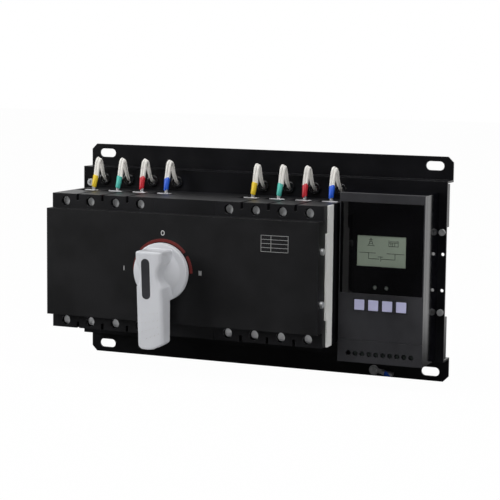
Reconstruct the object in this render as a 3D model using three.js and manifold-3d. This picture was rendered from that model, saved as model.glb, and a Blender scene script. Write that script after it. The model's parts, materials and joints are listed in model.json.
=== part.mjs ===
// Automatic transfer switch. Two four-pole moulded-case breakers stand side by side on one
// folded steel plate. A motor mechanism between them, or the handle on the front cover, throws
// one or the other. A controller with a display and four keys stands at the right.
//
// Millimetres. +X is to the right, +Z is up, and the wall that carries the plate is the plane
// y = 0. Everything stands out from that wall towards -Y, so depths are given as a distance
// "out" from the wall, and y = -out. The origin is the centre of the plate's mounting plane.

import * as THREE from 'three';
import { mergeVertices } from 'three/addons/utils/BufferGeometryUtils.js';
import Module from 'manifold-3d';

const wasm = await Module();
wasm.setup();

// ---- Driving dimensions ---------------------------------------------------------------------

const gap = 0.3; // clearance between pieces that touch, slide or turn
const sheet = 2; // steel of the base plate and of the mechanism plate
const wall = 2.2; // moulded walls of the controller
const deep = 400; // length of a cutting tool that runs right through

// Base plate, a hat section
const plateRise = 22; // wall to the raised face
const raisedHeight = 191;
const flangeHeight = 24.5;
const plateCorner = 6;
const slotLength = 20;
const slotWidth = 9.5;
const slotInset = 20; // slot centre from the plate's end
const slotDrop = 10; // slot centre from the flange's outer edge
const returnDepth = 9; // short lips folded back at the plate's ends
const returnLength = 45;
const returnInset = 3;
const leftMargin = 8; // bare plate beside the breakers
const rightMargin = 8.7; // bare plate beside the controller

// Breakers
const poleCount = 4;
const polePitch = 30; // the breaker's width follows from its poles
const breakerFlank = 1; // moulding beyond the outer poles' share of the pitch
const breakerHeight = 147;
const breakerLevel = -1.5; // height of the breakers' middle
const breakerDepth = 86; // raised plate to the terminal covers' front
const breakerBaseDepth = 42;
const breakerFloor = 8;
const coverWall = 2.5;
const housingSpace = 71.5; // room between the breakers, filled by the mechanism
const recessDepth = 16; // the breakers' middle front lies this far behind the terminal front
const terminalEnd = 19.5; // height of each terminal cover
const padHeight = 20; // raised plate to the terminal pads
const pocketWidth = 22;
const pocketLength = 18;
const chamberWidth = 22;
const driverHole = 5.25; // radius of the screwdriver holes
const driverInset = 8; // their centres from the breaker's end
const barrierSlot = 3; // slots for phase barriers, between the poles
const barrierDepth = 7;

// Breaker toggles, contact bars and trip buttons
const togglePivotDepth = 20; // behind the breaker's middle front
const toggleSwing = 22; // degrees either side of straight out
const toggleWidth = 16;
const toggleThick = 8;
const toggleReach = 38;
const toggleHub = 6;
const trunnion = 2;
const contactBarRadius = 5;
const contactBarDepth = 28; // raised plate to the bar's axis
const contactBarDrop = 6.5; // below the breakers' middle
const contactArm = 30;
const contactOpen = 30; // degrees between open and closed
const contactPad = 3; // how far the moving contacts stand out from their arms
const tripRadius = 3;
const tripOffset = 28; // to the right of the breaker's middle
const tripRaise = 31.5; // above it
const tripTravel = 2;

// Front cover and handle
const coverRise = 13; // terminal front to the cover's face
const coverSheet = 2;
const coverOverlap = 4; // how far the cover laps onto the terminal covers
const coverScrewSpread = 27.3; // screws above and below the middle
const tabHeight = 16;
const handleFromHousing = 17.7; // handle axis from the housing space's left side
const handleDrop = 3; // handle axis below the breakers' middle
const hubRadius = 31;
const hubThick = 6.7;
const domeRadius = 24;
const domeRise = 15.4;
const domeTop = 8; // radius where the cone ends, under the grip
const gripWidth = 30;
const gripAbove = 25; // grip's length above the axis
const gripBelow = 80; // and below it, on its long side
const gripSlant = 8; // how much shorter the other side is
const gripCorner = 9; // size of the bends at its lower end
const gripFrontTop = 36; // grip's face, in front of the cover, at its upper end
const gripFrontBottom = 28.5; // and at its lower end
const gripBack = 10; // air between the grip and the cover
const gripWaist = 4.5; // how deep the thumb scallops cut in
const gripScallop = 21;
const insetWidth = 9.6;
const insetShift = 3; // middle of the inset, to the left of the axis
const insetLength = 43;
const insetLevel = -4; // middle of the inset, from the axis, along the grip
const insetThick = 1;
const shaftRadius = 6;
const bushWall = 3;
const bushFlange = 4;

// Gear train, slide plate and carriages
const toothModule = 1.25;
const driveTeeth = 40;
const rackTeeth = 22;
const pinionTeeth = 12;
const backlash = 0.3;
const driveThick = 4;
const slideThick = 2;
const carriageThick = 3;
const carriageWidth = 28;
const carriagePin = 3;
const carriagePinLevel = -44.5; // follower pin below the breakers' middle, breaker off
const guidePost = 2.7;
const motorRadius = 17;
const motorLength = 47;
const motorShaft = 3;
const motorAngle = 30; // direction of the motor from the handle shaft, degrees
const switchSize = [20, 8, 10];

// Insulating side plate on the reserve breaker
const insulatorThick = 2;
const insulatorBack = 63; // raised plate to its rear edge
const insulatorFront = 76.5; // and to its front edge
const insulatorTab = 5; // the middle stands out further
const insulatorTabHeight = 90;

// Controller
const controllerGap = 3.5; // beside the breakers
const controllerWidth = 92.3;
const controllerTop = 83.5;
const controllerBottom = -93.7;
const controllerDepth = 48;
const controllerShellDepth = 8;
const topBand = 9; // plain band above the window
const windowHeight = 95;
const windowThick = 1.2;
const lcdWidth = 53.3;
const lcdHeight = 32.4;
const lcdDrop = 34; // window's top to the display's top
const lcdOffset = -0.1; // from the controller's middle
const ledDrop = 88;
const ledSpacing = 12.5;
const ledRadius = 1.6;
const keySize = 12.2;
const keyBar = 3; // between two keys
const keyDrop = 116; // controller's top to the keys' middle
const keyProud = 0.8;
const keyTravel = 1;
const terminalPitch = 7.62;
const terminalMargin = 5; // least room beside the row of terminals
const terminalCoverHeight = 24;
const terminalRow = 9.5; // screws above the controller's lower end
const terminalHole = 2.7;
const boardThick = 1.6;
const boardPost = 3.5;
const boardRoom = 4; // between the board and the front shell

// Leads, cables and small fixings
const leadRadius = 2.4;
const leadHole = 4.5;
const leadHeight = 82; // where the sense leads pass the plate
const leadShift = 3; // their holes lie this far to the right of the terminals
const lugWidth = 9;
const loomRadius = 4.5;
const cableRadius = 3;
const cableOut = 9.6; // wall to the middle of the cables behind the plate
const loomFromMiddle = 9; // where the cables enter the controller, left of its middle
const cableFromMiddle = 24;
const loomDrop = 38; // below the controller's top
const earthX = 130.7;
const earthZ = -113.5;
const screwShank = 1.8;
const screwHead = 3.5;
const screwHeadHeight = 2.6;

// ---- Derived places ----------------------------------------------------------------------------

const breakerWidth = poleCount * polePitch + 2 * breakerFlank;
const breakerRow = 2 * breakerWidth + housingSpace;
const plateWidth = leftMargin + breakerRow + controllerGap + controllerWidth + rightMargin;
const plateHeight = raisedHeight + 2 * flangeHeight;
const plateLeft = -plateWidth / 2;
const rowLeft = plateLeft + leftMargin;
const rowRight = rowLeft + breakerRow;
const spaceLeft = rowLeft + breakerWidth;
const spaceRight = spaceLeft + housingSpace;
const breakerTop = breakerLevel + breakerHeight / 2;
const breakerBottom = breakerLevel - breakerHeight / 2;
const breakers = {
  normal: rowLeft + breakerWidth / 2,
  reserve: spaceRight + breakerWidth / 2,
};
const poles = [...Array(poleCount).keys()].map((i) => (i - (poleCount - 1) / 2) * polePitch);
const walls = [...Array(poleCount - 1).keys()].map((i) => (i - (poleCount - 2) / 2) * polePitch);

const splitOut = plateRise + breakerBaseDepth;
const terminalOut = plateRise + breakerDepth;
const recessOut = terminalOut - recessDepth;
const padOut = plateRise + padHeight;
const recessTop = breakerTop - terminalEnd;
const recessBottom = breakerBottom + terminalEnd;
const coverOut = terminalOut + coverRise;
const coverInner = coverOut - coverSheet;
const coverTop = recessTop + coverOverlap;
const coverBottom = recessBottom - coverOverlap;
const mechOut = recessOut + sheet;
const pivotOut = recessOut - togglePivotDepth;

const handleX = spaceLeft + handleFromHousing;
const handleZ = breakerLevel - handleDrop;
const bushRadius = shaftRadius + gap + bushWall;
const carriageBack = mechOut + gap;
const carriageOut = carriageBack + carriageThick;
const slideBack = carriageOut + 2 * gap;
const slideOut = slideBack + slideThick;
const driveBack = slideOut + 2 * gap;
const driveOut = driveBack + driveThick;
const driveRadius = (toothModule * driveTeeth) / 2;
const rackRadius = (toothModule * rackTeeth) / 2;
const pinionRadius = (toothModule * pinionTeeth) / 2;
const motorTurn = THREE.MathUtils.degToRad(motorAngle);
const motorX = handleX + (driveRadius + pinionRadius) * Math.cos(motorTurn);
const motorZ = handleZ + (driveRadius + pinionRadius) * Math.sin(motorTurn);
const slideTravel = (rackRadius * Math.PI) / 2;
const swing = THREE.MathUtils.degToRad(toggleSwing);
const carriageArm = (carriageBack + carriageOut) / 2 - pivotOut;
const carriageTravel = 2 * carriageArm * Math.tan(swing);

const keySpacing = keySize + keyBar;
const terminalRoom = controllerWidth - 2 * (wall + terminalMargin);
const terminalCount = Math.floor(terminalRoom / terminalPitch);
const controllerLeft = rowRight + controllerGap;
const controllerRight = controllerLeft + controllerWidth;
const controllerX = (controllerLeft + controllerRight) / 2;
const controllerOut = plateRise + controllerDepth;
const shellBack = controllerOut - controllerShellDepth;
const boardOut = shellBack - boardRoom + boardThick;
const windowTop = controllerTop - topBand;
const windowBottom = windowTop - windowHeight;
const terminalSplit = controllerBottom + terminalCoverHeight;
const terminalZ = controllerBottom + terminalRow;
const loomX = controllerX - loomFromMiddle;
const loomZ = controllerTop - loomDrop;
const cableX = controllerX - cableFromMiddle;
const cableZ = motorZ;

// ---- Making and cutting solids -----------------------------------------------------------------

// A closed geometry as a solid that can be joined and cut.
function solid(geometry) {
  geometry.deleteAttribute('normal');
  geometry.deleteAttribute('uv');
  const welded = mergeVertices(geometry, 1e-4);
  return new wasm.Manifold(new wasm.Mesh({
    numProp: 3,
    vertProperties: new Float32Array(welded.attributes.position.array),
    triVerts: new Uint32Array(welded.index.array),
  }));
}

// The surface of a solid, ready for a mesh.
function surface(body) {
  const { vertProperties, triVerts } = body.getMesh();
  const geometry = new THREE.BufferGeometry();
  geometry.setAttribute('position', new THREE.BufferAttribute(vertProperties, 3));
  geometry.setIndex(new THREE.BufferAttribute(triVerts, 1));
  geometry.computeVertexNormals();
  return geometry;
}

const join = (...bodies) => bodies.reduce((sum, body) => sum.add(body));
const cut = (body, ...tools) => tools.reduce((rest, tool) => rest.subtract(tool), body);

// A box between two x, two distances out from the wall and two heights.
function block(x0, x1, out0, out1, z0, z1) {
  const geometry = new THREE.BoxGeometry(x1 - x0, out1 - out0, z1 - z0);
  geometry.translate((x0 + x1) / 2, -(out0 + out1) / 2, (z0 + z1) / 2);
  return solid(geometry);
}

// A round bar square to the wall, centred on x and z.
function peg(x, z, radius, out0, out1, sides = 24) {
  const geometry = new THREE.CylinderGeometry(radius, radius, out1 - out0, sides);
  geometry.translate(x, -(out0 + out1) / 2, z);
  return solid(geometry);
}

// A round bar that lies along X.
function axle(out, z, radius, x0, x1, sides = 24) {
  const geometry = new THREE.CylinderGeometry(radius, radius, x1 - x0, sides);
  geometry.rotateZ(Math.PI / 2);
  geometry.translate((x0 + x1) / 2, -out, z);
  return solid(geometry);
}

// An outline in x and z, made thick between two distances out from the wall.
function frontOutline(shape, out0, out1, curveSegments = 8) {
  const options = { depth: out1 - out0, bevelEnabled: false, curveSegments };
  const geometry = new THREE.ExtrudeGeometry(shape, options);
  geometry.rotateX(Math.PI / 2);
  geometry.translate(0, -out0, 0);
  return solid(geometry);
}

// An outline in distance out and height, made thick between two x.
function sideOutline(shape, x0, x1, curveSegments = 8) {
  const options = { depth: x1 - x0, bevelEnabled: false, curveSegments };
  const geometry = new THREE.ExtrudeGeometry(shape, options);
  const toOut = new THREE.Vector3(0, -1, 0);
  const toUp = new THREE.Vector3(0, 0, 1);
  const toLeft = new THREE.Vector3(-1, 0, 0);
  geometry.applyMatrix4(new THREE.Matrix4().makeBasis(toOut, toUp, toLeft));
  geometry.translate(x1, 0, 0);
  return solid(geometry);
}

function polygon(points) {
  return new THREE.Shape(points.map(([u, v]) => new THREE.Vector2(u, v)));
}

// A slot outline with round ends, lying along its first axis.
function obround(u, v, length, width) {
  const reach = length / 2 - width / 2;
  const shape = new THREE.Shape();
  shape.absarc(u + reach, v, width / 2, -Math.PI / 2, Math.PI / 2, false);
  shape.absarc(u - reach, v, width / 2, Math.PI / 2, (3 * Math.PI) / 2, false);
  return shape;
}

// A round tube of wire along points given as [x, out, z].
function wire(points, radius, steps, sides = 8) {
  const route = points.map(([x, out, z]) => new THREE.Vector3(x, -out, z));
  const path = new THREE.CatmullRomCurve3(route, false, 'centripetal');
  const turns = [...Array(sides).keys()].map((i) => (2 * Math.PI * i) / sides);
  const section = polygon(turns.map((a) => [radius * Math.cos(a), radius * Math.sin(a)]));
  const options = { steps, extrudePath: path, bevelEnabled: false };
  return solid(new THREE.ExtrudeGeometry(section, options));
}

// A gear outline about x, z: straight-flanked teeth, one of them centred on the given angle.
function gearOutline(x, z, teeth, angle) {
  const pitch = (toothModule * teeth) / 2;
  const half = (Math.PI * toothModule) / 4 - backlash / 2;
  const lean = Math.tan(THREE.MathUtils.degToRad(20));
  const tip = 0.9 * toothModule;
  const root = 1.2 * toothModule;
  const corners = [
    [pitch - root, -half - root * lean * 0.6],
    [pitch + tip, -half + tip * lean],
    [pitch + tip, half - tip * lean],
    [pitch - root, half + root * lean * 0.6],
  ];
  const points = [];
  for (let tooth = 0; tooth < teeth; tooth += 1) {
    const middle = angle + (2 * Math.PI * tooth) / teeth;
    for (const [radius, across] of corners) {
      const turn = middle + across / radius;
      points.push([x + radius * Math.cos(turn), z + radius * Math.sin(turn)]);
    }
  }
  return polygon(points);
}

// A pan-head screw square to the wall: head in front of "seat", shank behind it.
function panScrew(x, z, seat, length, head = screwHead, shank = screwShank) {
  const headOut = seat + screwHeadHeight;
  const recess = join(
    block(x - head * 0.5, x + head * 0.5, headOut - 1.2, headOut + 1, z - 0.5, z + 0.5),
    block(x - 0.5, x + 0.5, headOut - 1.2, headOut + 1, z - head * 0.5, z + head * 0.5),
  );
  const body = join(peg(x, z, head, seat, headOut), peg(x, z, shank, seat - length, seat + 1, 12));
  return cut(body, recess);
}

const model = new THREE.Group();
model.name = 'automatic_transfer_switch';

// Adds a named mesh with a material of its own.
function add(name, body, color, roughness = 0.5, metalness = 0, parent = model) {
  const material = new THREE.MeshStandardMaterial({ color, roughness, metalness });
  const mesh = new THREE.Mesh(surface(body), material);
  mesh.name = name;
  parent.add(mesh);
  return mesh;
}

const blackSteel = 0x17171a;
const blackMoulding = 0x1c1c1f;
const darkGrey = 0x35363a;
const zinc = 0xb9bcc0;
const steel = 0x9a9da2;
const silver = 0xc9cbcf;

// ---- Base plate --------------------------------------------------------------------------------

function basePlate() {
  const raised = raisedHeight / 2;
  const edge = plateHeight / 2;
  const half = plateWidth / 2;
  const section = polygon([
    [0, edge],
    [sheet, edge],
    [sheet, raised],
    [plateRise, raised],
    [plateRise, -raised],
    [sheet, -raised],
    [sheet, -edge],
    [0, -edge],
    [0, sheet - raised],
    [plateRise - sheet, sheet - raised],
    [plateRise - sheet, raised - sheet],
    [0, raised - sheet],
  ]);
  let body = sideOutline(section, -half, half);
  for (const side of [-1, 1]) {
    for (const end of [-1, 1]) {
      const returnZ = [raised - returnInset - returnLength, raised - returnInset];
      const returnX = [side * half, side * (half - sheet)].sort((a, b) => a - b);
      const low = Math.min(end * returnZ[0], end * returnZ[1]);
      const lip = block(...returnX, plateRise - returnDepth, plateRise, low, low + returnLength);
      const corner = polygon([
        [side * half, end * (edge - plateCorner)],
        [side * (half + 1), end * (edge - plateCorner)],
        [side * (half + 1), end * (edge + 1)],
        [side * (half - plateCorner), end * (edge + 1)],
        [side * (half - plateCorner), end * edge],
      ]);
      const slot = obround(side * (half - slotInset), end * (edge - slotDrop), slotLength, slotWidth);
      body = join(body, lip);
      body = cut(body, frontOutline(corner, -1, sheet + 1), frontOutline(slot, -1, sheet + 1));
    }
  }
  for (const middle of Object.values(breakers)) {
    for (const pole of poles) {
      body = cut(body, peg(middle + pole + leadShift, leadHeight, leadHole, 0, deep, 12));
    }
  }
  const marginX = controllerRight + rightMargin / 2;
  for (const z of [coverScrewSpread + 15, -coverScrewSpread - 15]) {
    body = cut(body, peg(marginX, z, screwShank + gap, 0, deep, 12));
  }
  for (const z of [raisedHeight * 0.1, -raisedHeight * 0.1]) {
    body = cut(body, peg(marginX + 0.8, z, screwShank, 0, deep, 16));
  }
  body = cut(body, peg(rowLeft + 1.5, breakerTop + 5.5, screwShank + gap, 0, deep, 12));
  body = cut(body, peg(loomX, loomZ, loomRadius + 2, 0, deep));
  body = cut(body, peg(cableX, cableZ, cableRadius + 2, 0, deep));
  body = cut(body, peg(motorX, cableZ, cableRadius + 2, 0, deep));
  body = cut(body, peg(earthX, earthZ, screwShank + gap, -1, sheet + 1, 12));
  return body;
}

add('base_plate', basePlate(), blackSteel, 0.35, 0.3);

// ---- Breakers ----------------------------------------------------------------------------------

// The deep rear half: four contact chambers, and a terminal pocket at both ends of each.
function breakerBase(middle) {
  const half = breakerWidth / 2;
  let body = block(middle - half, middle + half, plateRise, splitOut, breakerBottom, breakerTop);
  const chamberTop = recessTop - 6;
  const chamberBottom = recessBottom + 6;
  const seatOut = plateRise + contactBarDepth - 1 - contactPad - gap;
  const seatZ = breakerLevel - contactBarDrop + contactArm - 10;
  for (const pole of poles) {
    const x = middle + pole;
    const low = plateRise + breakerFloor;
    const side = chamberWidth / 2;
    body = cut(
      body,
      block(x - side, x + side, low, splitOut + 1, chamberBottom, seatZ),
      block(x - side, x + side, seatOut, splitOut + 1, seatZ - 1, chamberTop),
      block(x - pocketWidth / 2, x + pocketWidth / 2, padOut, splitOut + 1,
        breakerTop - pocketLength, breakerTop + 1),
      block(x - pocketWidth / 2, x + pocketWidth / 2, padOut, splitOut + 1,
        breakerBottom - 1, breakerBottom + pocketLength),
    );
  }
  const barZ = breakerLevel - contactBarDrop;
  const room = contactBarRadius + gap;
  const barOut = plateRise + contactBarDepth;
  const channel = join(
    axle(barOut, barZ, room, middle - half + 5, middle + half - 5),
    block(middle - half + 5, middle + half - 5, barOut, splitOut + 1, barZ - room, barZ + room),
  );
  return cut(body, channel);
}

// The front half: terminal covers with screwdriver holes, and a lower middle with the toggle.
function breakerCover(middle) {
  const half = breakerWidth / 2;
  const left = middle - half;
  const right = middle + half;
  let body = join(
    block(left, right, splitOut, terminalOut, recessTop, breakerTop),
    block(left, right, splitOut, terminalOut, breakerBottom, recessBottom),
    block(left, right, splitOut, recessOut, recessBottom, recessTop),
  );
  body = cut(body, block(left + 5, right - 5, splitOut - 1, recessOut - coverWall,
    recessBottom + 6, recessTop - 6));
  for (const [end, away] of [[breakerTop, 1], [breakerBottom, -1]]) {
    const driver = end - away * driverInset;
    const slot = [end - away * barrierDepth, end + away].sort((a, b) => a - b);
    for (const pole of poles) {
      const x = middle + pole;
      body = cut(body, peg(x, driver, driverHole, splitOut - 1, terminalOut + 1));
    }
    for (const between of walls) {
      const x = middle + between;
      body = cut(body, block(x - barrierSlot / 2, x + barrierSlot / 2, splitOut - 1,
        terminalOut + 1, ...slot));
    }
  }
  const slotHalf = (togglePivotDepth + 1) * Math.tan(swing) + toggleThick / 2 + 1.5;
  const cheekIn = toggleWidth / 2 + 2;
  const cheekBack = pivotOut - trunnion - 4;
  for (const side of [-1, 1]) {
    const cheek = [middle + side * cheekIn, middle + side * (cheekIn + 3)].sort((a, b) => a - b);
    body = join(body, block(...cheek, cheekBack, recessOut - 1, breakerLevel - 12, breakerLevel + 12));
  }
  return cut(
    body,
    block(middle - toggleWidth / 2 - 1, middle + toggleWidth / 2 + 1, recessOut - coverWall - 1,
      recessOut + 1, breakerLevel - slotHalf, breakerLevel + slotHalf),
    axle(pivotOut, breakerLevel, trunnion + gap, middle - cheekIn - 4, middle + cheekIn + 4, 16),
    peg(middle + tripOffset, breakerLevel + tripRaise, tripRadius + gap, splitOut, recessOut + 1),
  );
}

// The toggle is drawn straight out from the wall about its pivot, then tilted down: breaker off.
function breakerToggle(name, middle) {
  const pivot = new THREE.Group();
  pivot.position.set(middle, -pivotOut, breakerLevel);
  pivot.rotation.x = swing;
  model.add(pivot);
  const taper = polygon([
    [0, -toggleThick / 2],
    [toggleReach, -toggleThick / 2 + 1],
    [toggleReach, toggleThick / 2 - 1],
    [0, toggleThick / 2],
  ]);
  const body = join(
    sideOutline(taper, -toggleWidth / 2, toggleWidth / 2),
    axle(0, 0, toggleHub, -toggleWidth / 2, toggleWidth / 2),
    axle(0, 0, trunnion, -toggleWidth / 2 - 5, toggleWidth / 2 + 5, 16),
  );
  add(name, body, 0x2a2a2d, 0.55, 0, pivot);
}

// The bar across all four poles, with one moving contact arm in each chamber, contacts open.
function contactBar(name, middle) {
  const pivot = new THREE.Group();
  pivot.position.set(middle, -(plateRise + contactBarDepth), breakerLevel - contactBarDrop);
  pivot.rotation.x = THREE.MathUtils.degToRad(contactOpen);
  model.add(pivot);
  const reach = breakerWidth / 2 - 5 - gap;
  let body = axle(0, 0, contactBarRadius, -reach, reach);
  for (const pole of poles) {
    body = join(body, block(pole - 3, pole + 3, -2, 2, 0, contactArm));
    body = join(body, block(pole - 4, pole + 4, -1 - contactPad, -1, contactArm - 8, contactArm));
  }
  add(name, body, 0x8c4a2c, 0.45, 0.5, pivot);
}

function tripButton(middle) {
  const x = middle + tripOffset;
  const z = breakerLevel + tripRaise;
  const under = recessOut - coverWall - gap;
  return join(
    peg(x, z, tripRadius, under - 8, mechOut - 0.5, 16),
    peg(x, z, tripRadius + 1.5, under - 2, under, 16),
  );
}

for (const [name, middle] of Object.entries(breakers)) {
  add(`${name}_breaker_base`, breakerBase(middle), blackMoulding, 0.55);
  add(`${name}_breaker_cover`, breakerCover(middle), blackMoulding, 0.5);
  breakerToggle(`${name}_breaker_toggle`, middle);
  contactBar(`${name}_contact_bar`, middle);
  add(`${name}_trip_button`, tripButton(middle), 0xb02a22, 0.5);
}

// An insulating sheet stands between the reserve breaker and the controller.
function sideInsulator() {
  const x = rowRight + gap;
  const front = plateRise + insulatorFront;
  const back = plateRise + insulatorBack;
  const tab = [breakerLevel - insulatorTabHeight / 2, breakerLevel + insulatorTabHeight / 2];
  return join(
    block(x, x + insulatorThick, back, front, breakerBottom, breakerTop),
    block(x, x + insulatorThick, front - 1, front + insulatorTab, ...tab),
  );
}

add('side_insulator', sideInsulator(), 0xe9e8e2, 0.5);

// ---- Motor mechanism ---------------------------------------------------------------------------

// The moulded box between the breakers. Its ends are flush with their terminal covers.
function mechanismHousing() {
  const left = spaceLeft + gap;
  const right = spaceRight - gap;
  const inner = [left + coverWall, right - coverWall];
  const back = plateRise + coverWall;
  const low = breakerBottom + coverWall;
  const high = breakerTop - coverWall;
  return cut(
    block(left, right, plateRise, terminalOut, breakerBottom, breakerTop),
    block(left - 1, right + 1, recessOut, terminalOut + 1, recessBottom, recessTop),
    block(...inner, back, recessOut + 1, low, high),
    block(...inner, back, terminalOut - coverWall, recessTop + coverWall, high),
    block(...inner, back, terminalOut - coverWall, low, recessBottom - coverWall),
    peg(motorX, cableZ, cableRadius + 2, 0, back + 1),
  );
}

add('mechanism_housing', mechanismHousing(), blackMoulding, 0.5);

const posts = [handleX - 24, handleX + 61];
const postZ = handleZ - 36.5;
const plateEnds = [rowLeft + coverSheet + gap, rowRight - coverSheet - gap];
const toggleWindow = (carriageArm + 2) * Math.tan(swing) + toggleThick / 2 + 2;

// The steel plate across both breakers. It carries the gears, the slide plate, both carriages'
// guides and the tabs that the cover is screwed to.
function mechanismPlate() {
  let body = block(...plateEnds, recessOut, mechOut, recessBottom + gap, recessTop - gap);
  for (const [index, end] of plateEnds.entries()) {
    const tabX = index === 0 ? [end, end + sheet] : [end - sheet, end];
    for (const side of [-1, 1]) {
      const z = breakerLevel + side * coverScrewSpread;
      const tab = block(...tabX, recessOut, coverInner - 2, z - tabHeight / 2, z + tabHeight / 2);
      const screwOut = coverOut - 8;
      body = join(body, tab);
      body = cut(body, axle(screwOut, z, screwShank + gap, tabX[0] - 1, tabX[1] + 1, 12));
    }
  }
  for (const middle of Object.values(breakers)) {
    const inner = carriageWidth / 2 + gap;
    for (const side of [-1, 1]) {
      const rail = [middle + side * inner, middle + side * (inner + 2)].sort((a, b) => a - b);
      body = join(body, block(...rail, mechOut - 1, carriageOut, recessBottom + 3, recessTop - 10));
    }
    body = cut(
      body,
      block(middle - toggleWidth / 2 - 1.5, middle + toggleWidth / 2 + 1.5, recessOut - 1, mechOut + 1,
        breakerLevel - toggleWindow, breakerLevel + toggleWindow),
      peg(middle + tripOffset, breakerLevel + tripRaise, tripRadius + 2, recessOut - 1, mechOut + 1),
    );
  }
  for (const x of posts) {
    body = join(
      body,
      peg(x, postZ, guidePost + 2, mechOut - 1, slideBack - gap, 16),
      peg(x, postZ, guidePost, mechOut - 1, slideOut + gap + 1, 16),
      peg(x, postZ, guidePost + 2, slideOut + gap, slideOut + gap + 1.2, 16),
    );
  }
  return cut(
    body,
    peg(handleX, handleZ, shaftRadius + gap, recessOut - 1, mechOut + 1),
    peg(motorX, motorZ, motorShaft + gap + 1, recessOut - 1, mechOut + 1),
  );
}

add('mechanism_plate', mechanismPlate(), steel, 0.4, 0.8);

// The slide plate: a rack under the handle shaft, and a cam slot for each carriage's pin.
function slidePlate() {
  const slotReach = slideTravel + carriagePin + 1;
  const left = breakers.normal - slotReach - 4;
  const right = breakers.reserve + slotReach + 4;
  const pinLow = breakerLevel + carriagePinLevel;
  const pinHigh = pinLow + carriageTravel;
  const low = pinLow - carriagePin - 3;
  const high = pinHigh + carriagePin + 3;
  const rackLine = handleZ - rackRadius;
  const neck = rackLine - 1.2 * toothModule;
  const slim = postZ + guidePost + 6;
  let body = join(
    block(left, right, slideBack, slideOut, low, slim),
    block(left, breakers.normal + 6, slideBack, slideOut, low, high),
    block(breakers.reserve - 6, right, slideBack, slideOut, low, high),
  );
  const rackHalf = slideTravel + 3 * toothModule;
  body = join(body, block(handleX - rackHalf, handleX + rackHalf, slideBack, slideOut, low, neck));
  const pitch = Math.PI * toothModule;
  const half = pitch / 4 - backlash / 2;
  const lean = Math.tan(THREE.MathUtils.degToRad(20));
  const teeth = Math.floor(rackHalf / pitch - 0.5);
  for (let tooth = -teeth; tooth < teeth; tooth += 1) {
    const x = handleX + (tooth + 0.5) * pitch;
    const tip = 0.9 * toothModule;
    const root = 1.2 * toothModule;
    const outline = polygon([
      [x - half - root * lean, neck - 0.5],
      [x + half + root * lean, neck - 0.5],
      [x + half + root * lean, neck],
      [x + half - tip * lean, rackLine + tip],
      [x - half + tip * lean, rackLine + tip],
      [x - half - root * lean, neck],
    ]);
    body = join(body, frontOutline(outline, slideBack, slideOut));
  }
  for (const x of posts) {
    const slot = obround(x, postZ, 2 * (slideTravel + guidePost + gap), 2 * (guidePost + gap));
    body = cut(body, frontOutline(slot, slideBack - 1, slideOut + 1));
  }
  const side = carriagePin + gap;
  for (const [middle, lift] of [[breakers.normal, 1], [breakers.reserve, -1]]) {
    const flat = [middle - lift * slideTravel, middle + lift * 2].sort((a, b) => a - b);
    const rise = [middle + lift * (slideTravel - 2), middle + lift * slideTravel].sort((a, b) => a - b);
    const ramp = polygon([
      [middle + lift * 0.5, pinLow - side],
      [middle + lift * 3, pinLow - side],
      [middle + lift * slideTravel, pinHigh - side],
      [middle + lift * slideTravel, pinHigh + side],
      [middle + lift * (slideTravel - 2.5), pinHigh + side],
      [middle + lift * 0.5, pinLow + side],
    ]);
    body = cut(
      body,
      block(flat[0] - side, flat[1], slideBack - 1, slideOut + 1, pinLow - side, pinLow + side),
      block(flat[0], flat[1] + side, slideBack - 1, slideOut + 1, pinLow - side, pinLow + side),
      block(rise[0], rise[1] + side, slideBack - 1, slideOut + 1, pinHigh - side, pinHigh + side),
      block(rise[0] - side, rise[1], slideBack - 1, slideOut + 1, pinHigh - side, pinHigh + side),
      frontOutline(ramp, slideBack - 1, slideOut + 1),
    );
  }
  return body;
}

add('slide_plate', slidePlate(), zinc, 0.35, 0.8);

// A carriage holds the toggle's stem in its window, and a pin behind the slide plate's cam slot.
function carriage(middle) {
  const half = carriageWidth / 2;
  const windowZ = breakerLevel - carriageArm * Math.tan(swing);
  const windowHalf = (toggleThick / 2 + carriageThick * Math.sin(swing) / 2) / Math.cos(swing) + 0.8;
  const low = breakerLevel + carriagePinLevel - carriagePin - 1.5;
  return join(
    cut(
      block(middle - half, middle + half, carriageBack, carriageOut, low, windowZ + windowHalf + 6),
      block(middle - toggleWidth / 2 - gap, middle + toggleWidth / 2 + gap, carriageBack - 1,
        carriageOut + 1, windowZ - windowHalf, windowZ + windowHalf),
    ),
    peg(middle, breakerLevel + carriagePinLevel, carriagePin, carriageBack + 1, slideBack - gap, 16),
  );
}

for (const [name, middle] of Object.entries(breakers)) {
  add(`${name}_carriage`, carriage(middle), steel, 0.4, 0.8);
}

// Gears: the motor's pinion turns the large gear, and the small gear beside it moves the rack.
function driveGear() {
  const down = -Math.PI / 2;
  return cut(
    join(
      frontOutline(gearOutline(handleX, handleZ, rackTeeth, down), slideBack - gap, driveBack),
      frontOutline(gearOutline(handleX, handleZ, driveTeeth, motorTurn), driveBack, driveOut),
      peg(handleX, handleZ, shaftRadius + 4, driveBack, driveOut + 4),
    ),
    peg(handleX, handleZ, shaftRadius + gap, mechOut, coverOut),
  );
}

function motorPinion() {
  const facing = motorTurn + Math.PI + Math.PI / pinionTeeth;
  return join(
    frontOutline(gearOutline(motorX, motorZ, pinionTeeth, facing), driveBack - gap, driveOut + gap),
    peg(motorX, motorZ, motorShaft, recessOut - 10, driveOut + 2, 16),
  );
}

function gearMotor() {
  const bore = peg(motorX, motorZ, motorShaft + gap, recessOut - 11, recessOut + 1, 16);
  return cut(
    join(
      peg(motorX, motorZ, motorRadius, recessOut - motorLength + 8, recessOut - 6, 32),
      block(motorX - motorRadius + 1, motorX + motorRadius - 1, recessOut - 14, recessOut,
        motorZ - motorRadius + 1, motorZ + motorRadius - 1),
      peg(motorX, motorZ, 6, recessOut - motorLength, recessOut - motorLength + 10),
    ),
    bore,
  );
}

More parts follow.
